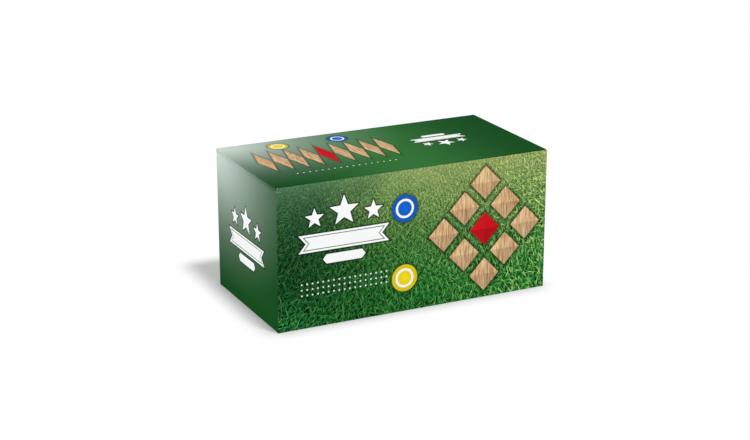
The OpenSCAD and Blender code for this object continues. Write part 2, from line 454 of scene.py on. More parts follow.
class PrintedBoard(Finish):
    """Offset print under a satin varnish on one face of the carton."""

    inks, emblem_size = Inks(), EmblemSize()
    relief: Relief = (0.2, 0.00003)
    coat: Coat = (0.025, 0.25)
    horizon, spread = 205.0, 190.0  # the lawn's far point above the middle, and its scale
    cells = (4.6, 3.6, 5.2, 4.0, 6.0, 4.3, 6.5, 5.0, 7.6)  # one layer of blades each
    cell_turn, blade_half, blade_width = 2.399, 0.46, 0.11
    # painted glare: how far it reaches, and how fast it fades downwards and, by face, towards the
    # front
    mist_reach, mist_height = 93.0, 1.43
    glare_depth = {Face.TOP: 1.38, Face.LEFT: 0.93}

    def __init__(self, face: Face) -> None:
        """Finds the place across and up the face, from its middle.

        Args:
            face: The face.
        """
        name, axis_across, sense_across, axis_up, sense_up = face.value
        super().__init__(f"print_{name}")
        self.face = face
        self.spot = self.place()
        self.flutes = ripple(self.spot[axis_across])
        self.half_w, self.half_h = SIZE.halves[axis_across], SIZE.halves[axis_up]
        self.across = self.spot[axis_across] * float(sense_across)
        up = self.spot[axis_up]
        self.up = up - self.half_h if axis_up == 2 else up * float(sense_up)
        self.colour = self.lawn() if face in LONG_WALLS else self.green()

    def material(self) -> Material:
        """Prints the face on its ground and varnishes it.

        Returns:
            The material.
        """
        self.motifs()
        self.wear()
        grain = self.noise(self.spot, 0.9, 3.0)
        if self.face is not Face.UNDER:
            self.bump(self.flutes * 0.5 + grain * 0.5, self.relief)
        return self.finish(
            Base_Color=self.colour,
            Roughness=0.4 + grain * 0.12,
            Specular_IOR_Level=0.0,
            coat=self.coat,
        )

    def blades(self) -> tuple[Signal, Signal]:
        """Draws layers of grass blades, one bent blade to a cell.

        The cells shrink towards a far point above the picture, so that the
        lawn seems to lie flat and run away from the eye.

        Returns:
            How light the grass is and how yellow, each about 0 to 1.
        """
        to_far = self.horizon - self.up
        spread = self.across.bearing(to_far) * self.spread
        depth = length(self.across, to_far).logarithm(math.e) * -self.spread
        clouds = self.noise((spread, depth, 0.0), 0.12, 3.0, 0.6)
        light, yellow = clouds * 0.5 - 0.05, clouds * 0.6
        for layer, cell in enumerate(self.cells):
            turn = 0.7 + self.cell_turn * layer
            cos_t, sin_t = math.cos(turn) / cell, math.sin(turn) / cell
            x = spread * cos_t + depth * sin_t + 0.37 * layer
            y = depth * cos_t - spread * sin_t + 0.61 * layer
            number = {"Vector": self.vector(x.floor(), y.floor(), 3.1 * layer)}
            chance = self.node("ShaderNodeTexWhiteNoise", {}, number, "Color")
            lean, bend, hue = self.parts(chance, "Color")
            angle = (lean - 0.5) * 2.2 - turn
            cosine, sine = angle.cosine(), angle.sine()
            x, y = x.fraction() - 0.5, y.fraction() - 0.5
            along = y * cosine - x * sine
            side = abs(x * cosine + y * sine + (bend - 0.5) * (along + 0.4) * along * 1.5)
            width = (self.blade_half - along) * self.blade_width
            blade = (side - width).rise(0.02, -0.02) * (abs(along) < self.blade_half)
            tone = 0.16 + hue * 0.22 + (along + 0.5) * (0.62 + 0.02 * layer) - side * 1.6
            light = light + (tone - light) * blade
            yellow = yellow + (hue - yellow) * blade
        return light, yellow

    def lawn(self) -> Signal:
        """Prints a lawn, darker at the left and paler and softer at the top.

        Returns:
            The colour.
        """
        inks, across, up, half_w, half_h = self.inks, self.across, self.up, self.half_w, self.half_h
        light, yellow = self.blades()
        clouds = self.noise((across, up, 5.0), 0.02, 2.0) - 0.5
        height = (up / (2 * half_h) + 0.5 + clouds * 0.3).within(0.0, 1.0)
        far = height ** 2.6 * (across + clouds * 40).rise(-half_w - 40, 40.0)
        ground = self.blend(far, inks.lawn_low, inks.lawn_high)
        left = (across + clouds * 30).rise(-20.0, -half_w + 25)
        ground = self.blend(left, ground, inks.lawn_left)
        dry = far * 0.55 + across.rise(0.0, half_w) * 0.48 + 0.07
        ground = self.blend((yellow - 0.45).within(0.0, 1.0) * dry, ground, inks.straw)
        contrast = 3.3 - far * 1.8
        lit = across.rise(-90.0, half_w) * (1.0 - far) * 0.62 + 1.0
        lit = lit + across.rise(-50.0, -half_w) * up.rise(-30.0, -half_h) * 1.5
        ground = self.dim(ground, ((light - 0.42) * contrast + 1.0).most(0.06) * lit)
        veil = ((up - half_h) * 0.04).exponential() * across.rise(40.0, -half_w) * 0.17
        return self.blend(veil, ground, inks.haze)

    def green(self) -> Signal:
        """Prints plain green, paler in the middle, with a painted glare at one corner.

        Returns:
            The colour.
        """
        glow = (self.across * self.across / -8000.0).exponential()
        if self.face in (Face.LEFT, Face.RIGHT):
            glow = glow * 0.2
        colour = self.blend(glow, self.inks.green_deep, self.inks.green_mid)
        # painted glare: a pale highlight painted round the top left rear corner, fixed to the board
        if self.face in self.glare_depth:
            x, y, z = self.spot
            half_x, half_y, half_z = SIZE.halves
            dy = (half_y - y) * self.glare_depth[self.face]
            dz = (half_z * 2 - z) * self.mist_height
            away = length(x + half_x, dy, dz) / self.mist_reach
            mist = ((away ** 1.5 * -1.0).exponential() * 0.98 - 0.03).most(0.0)
            colour = self.blend(mist, colour, self.inks.mist)
        return colour

    def motifs(self) -> None:
        """Prints the face's stars, ribbons, rings, dots and diamonds."""
        if self.face in LONG_WALLS:
            self.harlequin((82.0, 0.0), (24.5, 25.5))
            self.target((-13.0, 36.0), 14.8, self.inks.blue)
            self.target((-13.0, -40.0), 14.8, self.inks.yellow)
            self.emblem((-82.0, 25.0), 1.0)
            self.dots((-82.0, -35.0), (17, 3), 6.0)
        elif self.face is Face.TOP:
            self.diamonds((60.0, -9.0), (7.6, 34.0), 17.5)
            self.target((25.0, -58.0), 11.0, self.inks.blue)
            self.target((95.0, -58.0), 11.0, self.inks.yellow)
            self.dots((60.0, 42.0), (17, 1), 7.0)
            self.emblem((-74.0, -5.0), 0.62)
        elif self.face is not Face.UNDER:
            self.emblem((0.0, 2.0), 0.92)

    def beside(self, centre: Point2) -> list[Signal]:
        """Gives the place across and up from a middle on the face."""
        return [self.across - centre[0], self.up - centre[1]]

    def ink(self, mask: Number, colour: object) -> None:
        """Prints a colour over what is there."""
        self.colour = self.blend(mask, self.colour, colour)

    def inlay(self, distance: Signal, colour: object, reach: float, depth: float) -> None:
        """Prints a shape with a soft shadow round it, so far and so dark."""
        self.ink(distance.rise(reach, 0.0) * depth, self.inks.outline)
        self.ink(inside(distance), colour)

    def wood(self, squeeze: float, number: Signal) -> tuple[Signal, Signal]:
        """Gives upright streaks, other ones for each number, and wood streaked with them."""
        streaks = self.noise((self.across * squeeze, self.up * 0.12, number), 0.55, 4.0, 0.7)
        return streaks, self.blend(streaks.rise(0.35, 0.72), *self.inks.tans)

    def dots(self, centre: Point2, counts: tuple[int, int], pitch: float) -> None:
        """Prints a block of small white dots, so many across and up."""
        gaps = [repeat(*row, pitch)[0] for row in zip(self.beside(centre), counts)]
        self.ink(inside(length(*gaps) - 1.0) * 0.8, self.inks.white)

    def emblem(self, centre: Point2, scale: float) -> None:
        """Prints three stars over a plain ribbon and a short bar, in white.

        Args:
            centre: The emblem's middle.
            scale: Its size, 1 for the front's.
        """
        x, y = [part / scale for part in self.beside(centre)]
        size = self.emblem_size
        (big_at, big), (side_at, side) = size.big_star, size.side_star
        band = ribbon(x, y - size.band_at, size.band_half, size.band_notch)
        bar = ribbon(x, y - size.bar_at, size.bar_half, size.bar_notch)
        stars = star(x, y - big_at, big).least(star(abs(x) - size.star_gap, y - side_at, side))
        shape = stars.least(band).least(bar)
        self.ink(inside(shape, size.rim, 0.5) * 0.85, self.inks.outline)
        self.ink(inside(shape), self.inks.white)
        line = inside(abs(band + size.line_in) - size.line_half)
        self.ink(line * 0.9, self.inks.green_deep)

    def target(self, centre: Point2, radius: float, colour: Colour) -> None:
        """Prints a disc with a white ring and a shaded rim.

        Args:
            centre: The disc's middle.
            radius: Its radius.
            colour: Its colour.
        """
        away = length(*self.beside(centre))
        disc = self.dim(colour, 1.08 - away * (0.3 / radius))
        ring = inside(abs(away - radius * 0.62), radius * 0.085)
        self.inlay(away - radius, self.blend(ring, disc, self.inks.white), 3.5, 0.6)

    def diamonds(self, centre: Point2, half: Point2, pitch: float) -> None:
        """Prints a row of nine tall diamonds, the middle one red.

        Args:
            centre: The middle of the row.
            half: Half a diamond's width and height.
            pitch: From one to the next.
        """
        across, up = self.beside(centre)
        x, number = repeat(across, 9, pitch)
        distance = (abs(x) * half[1] + abs(up) * half[0] - half[0] * half[1]) / math.hypot(*half)
        _, wood = self.wood(1.6, number * 5)
        tone = self.blend(inside(abs(number), 0.5), wood, self.inks.red)
        self.inlay(distance, self.dim(tone, x * 0.02 + 0.95), 3.0, 0.6)

    def harlequin(self, centre: Point2, step: Point2) -> None:
        """Prints nine inlaid diamonds with four facets each, the middle one red.

        Args:
            centre: The middle of the middle one.
            step: From the middle of one to its corners, with the gap.
        """
        across, up = self.beside(centre)
        x, y = across / step[0], up / step[1]
        (a, cell_a), (b, cell_b) = [repeat(part * 0.5, 3, 1.0) for part in (x + y, y - x)]
        distance = (abs(a).most(abs(b)) - 0.36) * math.hypot(*step)
        steep = abs(b) > abs(a)
        facet = steep * (b / abs(b).most(0.001)) * 0.17
        facet = facet + (1.0 - steep) * (a / abs(a).most(0.001)) * 0.06
        streaks, wood = self.wood(1.4, cell_a * 7 + cell_b * 3)
        stain = self.blend(streaks * 0.25, self.inks.red, self.inks.red_deep)
        middle = (abs(cell_a) + abs(cell_b)) < 0.5
        tone = self.dim(self.blend(middle, wood, stain), facet + 0.92)
        self.inlay(distance, tone, 5.0, 0.75)

    def wear(self) -> None:
        """Lightens the print along the folds, where the varnish has cracked."""
        edge = (self.half_w - abs(self.across)).least(self.half_h - abs(self.up))
        chips = self.noise(self.spot, 0.35, 4.0, 0.7)
        self.ink(edge.rise(0.9, 0.1) * chips.rise(0.45, 0.75) * 0.15, self.inks.white)


@dataclass(frozen=True)
class BrownBoard:
    """Plain brown liner: fibres, specks, and the faint lines of flutes across an axis, in bump and
    painted shade.
    """

    axis: int
    light: Colour = srgb(190, 158, 120)
    dark: Colour = srgb(150, 117, 82)
    speck: Colour = srgb(96, 70, 46)
    relief: Relief = (0.5, 0.00006)

    def material(self) -> Material:
        """Makes the liner's material.

        Returns:
            The material.
        """
        graph = Finish(f"brown_board_{'xyz'[self.axis]}")
        spot = graph.place()
        clouds, fibres = graph.noise(spot, 0.05, 4.0), graph.noise(spot, 1.6, 5.0, 0.75)
        flutes = ripple(spot[self.axis])
        colour = graph.blend(clouds * 0.5 + fibres.rise(0.35, 0.7) * 0.4, self.light, self.dark)
        # painted shade: the liner darkens a little along each flute
        colour = graph.dim(colour, 1.0 - flutes * 0.05)
        specks = graph.noise(spot, 2.4, 2.0).rise(0.68, 0.74)
        colour = graph.blend(specks * 0.5, colour, self.speck)
        graph.bump(flutes * 0.6 + fibres * 0.4, self.relief)
        rough = 0.82 + fibres * 0.1
        return graph.finish(Base_Color=colour, Roughness=rough, Specular_IOR_Level=0.2)


@dataclass(frozen=True)
class CutPaper:
    """Raw cut edge of the paper liners."""

    light: Colour = srgb(214, 203, 182)
    dark: Colour = srgb(168, 146, 116)
    relief: Relief = (0.4, 0.00003)

    def material(self) -> Material:
        """Makes the cut edge's material.

        Returns:
            The material.
        """
        graph = Finish("cut_paper")
        fibres = graph.noise(graph.place(), 2.2, 4.0, 0.7)
        graph.bump(fibres, self.relief)
        colour = graph.blend(fibres.rise(0.3, 0.75), self.light, self.dark)
        return graph.finish(Base_Color=colour, Roughness=0.9, Specular_IOR_Level=0.15)


@dataclass(frozen=True)
class TurnedWood:
    """Clear-lacquered light wood, with the rings of one log running along X.

    Its groove, given by two places along X, is scorched dark, fading so far
    outside and inside it.
    """

    groove: Point2
    scorch: Point2 = (1.2, 0.4)
    pith: Point2 = (-150.0, 260.0)
    ring: float = 3.6
    wander: float = 26.0
    taper: float = 0.035
    relief: Relief = (0.22, 0.00008)
    coat: Coat = (0.45, 0.16)
    light: Colour = srgb(231, 192, 143)
    mid: Colour = srgb(206, 156, 104)
    dark: Colour = srgb(156, 100, 58)

    def material(self) -> Material:
        """Makes the wood's material.

        Returns:
            The material.
        """
        graph = Finish("turned_wood")
        x, y, z = graph.place()
        wave = graph.noise((x * 0.16, y, z), 0.028, 3.0) - 0.5
        radius = length(y - self.pith[0], z - self.pith[1])
        radius = radius + wave * self.wander + x * self.taper
        ring = (radius / self.ring).fraction()
        late = ring.rise(0.45, 0.92) * ring.rise(1.0, 0.95)
        fibres = graph.noise((x * 0.05, y, z), 1.7, 4.0, 0.7)
        pores = graph.noise((x * 0.09, y * 1.2, z * 1.2), 3.2, 2.0).rise(0.62, 0.75)
        board = graph.noise((x * 0.02, y, z), 0.02, 1.0)
        vein = graph.noise((x * 0.03, y, z), 0.06, 2.0).rise(0.42, 0.62)
        colour = graph.blend((fibres * 0.55 + board * 0.45).rise(0.25, 0.8), self.light, self.mid)
        (low, high), (out, within) = self.groove, self.scorch
        scorched = x.rise(low - out, low + within) * x.rise(high + out, high - within)
        for share in (late * (vein * 0.4 + 0.16), pores * 0.3, scorched * 0.45):
            colour = graph.blend(share, colour, self.dark)
        graph.bump(late * 0.4 + fibres * 0.6, self.relief)
        return graph.finish(Base_Color=colour, Roughness=0.42 + late * 0.1, coat=self.coat)


@dataclass(frozen=True)
class Lacquer:
    """Gloss paint on turned wood, with the grain showing faintly through."""

    name: str
    colour: Colour
    deep: Colour
    relief: Relief = (0.12, 0.0001)
    coat: Coat = (0.45, 0.06)

    def material(self) -> Material:
        """Makes the paint's material.

        Returns:
            The material.
        """
        graph = Finish(self.name)
        x, y, z = graph.place()
        grain = graph.noise((x * 0.06, y, z), 0.9, 3.0, 0.6)
        peel = graph.noise((x, y, z), 0.35, 2.0)
        graph.bump(grain * 0.4 + peel * 0.6, self.relief)
        return graph.finish(
            Base_Color=graph.blend(grain.rise(0.35, 0.8) * 0.35, self.colour, self.deep),
            Roughness=0.34 + grain * 0.08,
            Specular_IOR_Level=0.15,
            coat=self.coat,
        )


def around(centre: Vector, arm: Vector, side: Vector, angles: Sequence[float]) -> list[Vector]:
    """Gives points on an arc, from its radius at no turn and at a quarter turn."""
    return [centre + arm * math.cos(angle) + side * math.sin(angle) for angle in angles]


def stand(name: str, data: bpy.types.ID) -> bpy.types.Object:
    """Puts a mesh, a lamp or the camera into the scene.

    Args:
        name: The object's name.
        data: What it shows.

    Returns:
        The object.
    """
    made = bpy.data.objects.new(name, data)
    bpy.context.scene.collection.objects.link(made)
    return made


class Shell:
    """A mesh under construction, made of closed solids."""

    bend_step, rod_sides = 9, 24  # degrees between points on a fold, and points round a rod

    def __init__(self) -> None:
        """Starts empty."""
        self.mesh = bmesh.new()

    def corners(self, points: Sequence[Vector]) -> Corners:
        """Adds corners."""
        return [self.mesh.verts.new(point) for point in points]

    def face(self, corners: Corners, material: int = 0, smooth: bool = False) -> None:
        """Adds one face."""
        made = self.mesh.faces.new(corners)
        made.material_index, made.smooth = material, smooth

    def prism(
        self, outline: Sequence[Vector], shift: Vector, sides: Sequence[int], base: int, lid: int,
        smooth: bool = False,
    ) -> None:
        """Adds a closed prism.

        Args:
            outline: The base's corners in order.
            shift: From the base to the lid.
            sides: Material of each side.
            base: Material of the base.
            lid: Material of the lid.
            smooth: Whether the sides that aren't cut edges are shaded as round.
        """
        low = self.corners(outline)
        high = self.corners([point + shift for point in outline])
        self.face(low, base)
        self.face(high, lid)
        for here, material in enumerate(sides):
            there = (here + 1) % len(low)
            corners = (low[here], low[there], high[there], high[here])
            self.face(corners, material, smooth and material != RAW)

    def wedge(self, start: Vector, end: Vector, arms: tuple[Vector, Vector], sweep: float) -> None:
        """Adds a printed wedge of a round bar, for a fold.

        Args:
            start: One end of the bar's axis.
            end: The other end.
            arms: The radius at the start of the sweep, and at a quarter turn.
            sweep: The angle swept.
        """
        count = max(4, round(math.degrees(sweep) / self.bend_step))
        rim = around(start, *arms, steps(0.0, sweep, count))
        self.prism([start, *rim], end - start, [RAW, *[INK] * count, RAW], INK, INK, True)

    def rod(self, start: Vector, end: Vector, radius: float) -> None:
        """Adds a round bar of brown board.

        Args:
            start: One end of its axis.
            end: The other end.
            radius: Its radius.
        """
        arm = (end - start).orthogonal().normalized() * radius
        side = (end - start).normalized().cross(arm)
        rim = around(start, arm, side, steps(0.0, math.tau, self.rod_sides)[:-1])
        self.prism(rim, end - start, [BROWN] * self.rod_sides, RAW, RAW, True)

    def add(self, mesh: bpy.types.Mesh, material: int) -> None:
        """Joins a finished mesh in.

        Args:
            mesh: The mesh, removed afterwards.
            material: Its material's place.
        """
        before = len(self.mesh.faces)
        self.mesh.from_mesh(mesh)
        self.mesh.faces.ensure_lookup_table()
        for face in self.mesh.faces[before:]:
            face.material_index = material
        bpy.data.meshes.remove(mesh)

    def piece(self, name: str, materials: Sequence[Material]) -> bpy.types.Object:
        """Ends the mesh as an object.

        Args:
            name: The piece's name.
            materials: Its materials in order.

        Returns:
            The object, in the scene.
        """
        bmesh.ops.recalc_face_normals(self.mesh, faces=self.mesh.faces[:])
        made = bpy.data.meshes.new(name)
        self.mesh.to_mesh(made)
        self.mesh.free()
        for material in materials:
            made.materials.append(material)
        return stand(name, made)


def dress(piece: bpy.types.Object, body: str, node: str) -> None:
    """Says what a piece rides on and stands for, and reports it.

    Args:
        piece: The finished piece.
        body: The body it moves with.
        node: The node it stands for.
    """
    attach(piece, body)
    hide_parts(node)
    log.info("%s: %d faces, on %s", piece.name, len(piece.data.polygons), body)


@dataclass
class FluteSheet:
    """The wavy paper between two liners, made by a node tree."""

    pitch: float = FLUTE_PITCH * MM
    paper: float = 0.14 * MM
    samples: int = 8

    def tree(self, values: dict[str, object]) -> bpy.types.NodeTree:
        """Builds the node tree.

        Args:
            values: Its inputs by name, each of its kind.

        Returns:
            The tree.
        """
        tree = bpy.data.node_groups.new("flute_sheet", "GeometryNodeTree")
        for name, value in values.items():
            kind = {float: "Float", int: "Int"}.get(type(value), "Material")
            tree.interface.new_socket(name=name, in_out="INPUT", socket_type=f"NodeSocket{kind}")
        tree.interface.new_socket(name="Sheet", in_out="OUTPUT", socket_type="NodeSocketGeometry")
        graph = Graph(tree)
        given = graph.node("NodeGroupInput")
        size = {"Size X": given.output("Across"), "Vertices X": given.output("Columns")}
        grid = graph.node("GeometryNodeMeshGrid", {}, {**size, "Size Y": 1.0, "Vertices Y": 2})
        across = graph.parts(graph.node("GeometryNodeInputPosition"))[0]
        wave = (across / given.output("Pitch") * math.tau).sine() * given.output("Wave")
        lift = {"Geometry": grid, "Offset": graph.vector(0.0, 0.0, wave)}
        bent = graph.node("GeometryNodeSetPosition", {}, lift)
        push = {"Offset": Z, "Offset Scale": given.output("Paper"), "Individual": False}
        thick = graph.node("GeometryNodeExtrudeMesh", {}, {"Mesh": bent, **push})
        under = graph.node("GeometryNodeFlipFaces", {}, {0: bent})
        both = graph.node("GeometryNodeJoinGeometry", {}, {0: [thick, under]})
        sewn = graph.node("GeometryNodeMergeByDistance", {}, {0: both, "Distance": 0.001 * MM})
        real = graph.node("GeometryNodeRealizeInstances", {}, {0: sewn})
        finish = {"Geometry": real, "Material": given.output("Finish")}
        graph.node("NodeGroupOutput", {}, {0: graph.node("GeometryNodeSetMaterial", {}, finish)})
        return tree

    def mesh(self, across: float, wave: float, material: Material) -> bpy.types.Mesh:
        """Runs the tree.

        Args:
            across: Width across the flutes.
            wave: Half the height of the wave.
            material: The paper's finish.

        Returns:
            A plain mesh, one unit long in Y and centred.
        """
        columns = max(3, round(across / self.pitch * self.samples))
        values = {"Across": across, "Columns": columns, "Pitch": self.pitch, "Wave": wave}
        values.update({"Paper": self.paper, "Finish": material})
        tree = bpy.data.node_groups.get("flute_sheet") or self.tree(values)
        holder = stand("flute_holder", bpy.data.meshes.new("flute_holder"))
        modifier = holder.modifiers.new("flutes", "NODES")
        modifier.node_group = tree
        for item in tree.interface.items_tree:
            if item.name in values:
                modifier[item.identifier] = values[item.name]
        holder.update_tag()
        evaluated = holder.evaluated_get(bpy.context.evaluated_depsgraph_get())
        made = bpy.data.meshes.new_from_object(evaluated)
        holder.modifiers.remove(modifier)
        bpy.data.objects.remove(holder)
        return made


FLUTES = FluteSheet()


@dataclass
class Board:
    """One flat panel of fluted board, drawn in its own plane.

    In that plane u runs across the flutes, v along them, and the third
    direction points from the brown inside to the printed outside. Over the
    edges in turned, the print is folded down.
    """

    outline: list[Point2]
    origin: Vector
    across: Vector
    along: Vector
    materials: list[Material]
    turned: tuple[int, ...] = ()
    liner: float = 0.22 * MM
    paper: float = 0.05 * MM
    flute_inset: float = 0.1 * MM
    flute_gap: float = 0.01 * MM
    flute_short: float = 0.002
    shell: Shell = field(default_factory=Shell)

    @property
    def out(self) -> Vector:
        """Direction from the inside to the outside."""
        return self.across.cross(self.along)

    def point(self, u: float, v: float, n: float) -> Vector:
        """Gives the place of a point of the board, n outwards from its inside."""
        return self.origin + self.across * u + self.along * v + self.out * n

    def plate(
        self, outline: Sequence[Point2], low: float, high: float, sides: int, base: int, lid: int
    ) -> None:
        """Adds a flat layer between two heights, by the materials of its sides, base and lid."""
        corners = [self.point(u, v, low) for u, v in outline]
        self.shell.prism(corners, self.out * (high - low), [sides] * len(corners), base, lid)

    def reach(self, u: float) -> Point2:
        """Finds where the outline starts and ends along one flute.

        Args:
            u: The flute's place across the board.

        Returns:
            The lowest and highest v inside the outline.
        """
        found = []
        for (u0, v0), (u1, v1) in zip(self.outline, self.outline[1:] + self.outline[:1]):
            if abs(u1 - u0) > TINY and min(u0, u1) - TINY <= u <= max(u0, u1) + TINY:
                found.append(v0 + (v1 - v0) * (u - u0) / (u1 - u0))
        return min(found), max(found)

    def fill(self) -> None:
        """Adds the two liners, the turned-over edges and the wavy sheet."""
        thick = SIZE.board
        self.plate(self.outline, 0.0, self.liner, RAW, BROWN, BROWN)
        self.plate(self.outline, thick - self.liner, thick, RAW, BROWN, INK)
        for edge in self.turned:
            self.turn_over(edge)
        first, *_, last = sorted(u for u, _ in self.outline)
        first, last = first + self.flute_inset, last - self.flute_inset
        wave = (thick - 2 * self.liner - FLUTES.paper) / 2 - self.flute_gap
        sheet = FLUTES.mesh(last - first, wave, self.materials[BROWN])
        for vertex in sheet.vertices:
            u = vertex.co.x + (first + last) / 2
            start, end = self.reach(u)
            share = self.flute_short + (vertex.co.y + 0.5) * (1 - 2 * self.flute_short)
            n = thick / 2 - FLUTES.paper / 2 + vertex.co.z
            vertex.co = self.point(u, start + (end - start) * share, n)
        self.shell.add(sheet, BROWN)

    def turn_over(self, edge: int) -> None:
        """Covers one cut edge of the outline with a turned-over strip of the print.

        Args:
            edge: The edge, counted from the outline's first corner.
        """
        start = Vector(self.outline[edge])
        end = Vector(self.outline[(edge + 1) % len(self.outline)])
        run = (end - start).normalized()
        off = Vector((run.y, -run.x)) * self.paper
        strip = (start, end, end + off, start + off)
        self.plate(strip, 0.0, SIZE.board + self.paper, INK, BROWN, INK)

    def build(self, name: str, body: str, slot: str, node: str) -> None:
        """Fills the board and dresses it as a piece that stands for a node."""
        self.fill()
        dress(self.shell.piece(name, self.materials), body, node)


class Prints:
    """The carton's finishes, each made once."""

    def __init__(self) -> None:
        """Makes them."""
        self.faces = {face: PrintedBoard(face).material() for face in Face}
        self.brown = [BrownBoard(axis).material() for axis in (0, 1)]
        self.raw = CutPaper().material()

    def of(self, face: Face, across: Vector) -> list[Material]:
        """Gives a panel's materials, by its print and the direction across its flutes."""
        return [self.faces[face], self.brown[round(abs(across.y))], self.raw]


def rectangle(width: float, height: float) -> list[Point2]:
    """Draws a rectangle from its lower left corner."""
    return [(0.0, 0.0), (width, 0.0), (width, height), (0.0, height)]


@dataclass
class Tube:
    """The carton's four walls, its glued corner flap and its bottom."""

    prints: Prints

    def wall(self, node: str, face: Face, origin: Vector, across: Vector, width: float) -> None:
        """Builds one wall with its share of the round folds.

        Args:
            node: The solid it stands for.
            face: Its print.
            origin: Its lower inner corner, on the outer bottom flaps.
            across: Direction across it.
            width: Its inner width.
        """
        t, run = SIZE.board, across * width
        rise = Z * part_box(node)[1].z
        outline = rectangle(width, rise.z - t)
        turned = (2,) if face is Face.FRONT else ()
        board = Board(outline, origin, across, Z, self.prints.of(face, across), turned)
        foot, out = origin - Z * t, board.out * t
        board.shell.wedge(foot, foot + rise, (out, -across * t), math.pi / 4)
        board.shell.wedge(foot + run, foot + run + rise, (out, across * t), math.pi / 4)
        board.shell.wedge(origin, origin + run, (out, -Z * t), math.pi / 2)
        slot = "print_front" if face in LONG_WALLS else "print_green"
        board.build(f"{node}_board", "carton", slot, node)

    def walls(self) -> None:
        """Builds the four walls."""
        x, y, t = SIZE.in_x, SIZE.in_y, SIZE.board
        self.wall("front_panel", Face.FRONT, Vector((-x, -y, t)), X, 2 * x)
        self.wall("back_panel", Face.BACK, Vector((x, y, t)), -X, 2 * x)
        self.wall("left_end_panel", Face.LEFT, Vector((-x, y, t)), -Y, 2 * y)
        self.wall("right_end_panel", Face.RIGHT, Vector((x, -y, t)), Y, 2 * y)

    def flaps(self) -> None:
        """Builds the flat flaps that fill their solids: the bottom and the glued strip."""
        flaps = (
            ("bottom_front_flap", Face.UNDER, -X, Y, "print_green"),
            ("bottom_back_flap", Face.UNDER, X, -Y, "print_green"),
            ("bottom_left_flap", Face.UNDER, Y, X, "board"),
            ("bottom_right_flap", Face.UNDER, -Y, -X, "board"),
            ("glue_flap", Face.RIGHT, Y, Z, "board"),
        )
        for node, face, across, along, slot in flaps:
            low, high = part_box(node)
            size = high - low
            inwards = across + along + across.cross(along)
            origin = Vector([a if way > 0 else b for a, b, way in zip(low, high, inwards)])
            outline = rectangle(abs(size.dot(across)), abs(size.dot(along)))
            board = Board(outline, origin, across, along, self.prints.of(face, across))
            board.build(f"{node}_board", "carton", slot, node)


@dataclass
class Fold:
    """A fold that moves: its axis, and the directions out of both its boards."""

    name: str
    ends: list[Vector]
    fixed_out: Vector
    moving_out: Vector
    fixed_body: str
    moving_body: str
    lap: float = 2.2 * MM
    short: float = 0.4 * MM
    paper: float = 0.05 * MM
    bends: int = 10

    def strip(self, materials: Sequence[Material]) -> None:
        """Builds the printed paper that bends over the fold.

        Args:
            materials: Its print and the brown of its inside.
        """
        radius = SIZE.board / 2
        start, end = self.ends
        inset = (end - start).normalized() * self.short
        a, b = self.fixed_out, self.moving_out
        side, back = (b - a * a.dot(b)).normalized(), (a - b * a.dot(b)).normalized()
        rim = around(Vector(), a, side, steps(0.0, a.angle(b), self.bends))
        flats = (a * radius - side * self.lap, b * radius - back * self.lap)
        inner = [flats[0], *(arm * radius for arm in rim), flats[1]]
        outer = [point + arm * self.paper for point, arm in zip(inner, [a, *rim, b])]
        shell = Shell()
        near, far = [
            [shell.corners([place + point for point in path]) for path in (inner, outer)]
            for place in (start + inset, end - inset)
        ]
        last = len(inner) - 1
        for here, there in zip(range(last), range(1, last + 1)):
            for path, material in ((0, BROWN), (1, INK)):
                corners = (near[path][here], near[path][there], far[path][there], far[path][here])
                shell.face(corners, material, smooth=True)
            for row in (near, far):
                shell.face((row[0][here], row[0][there], row[1][there], row[1][here]))
        for here in (0, last):
            shell.face((near[0][here], near[1][here], far[1][here], far[0][here]))
        piece = shell.piece(self.name, materials)
        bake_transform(piece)
        log.info("%s: bends between %s and %s", self.name, self.fixed_body, self.moving_body)


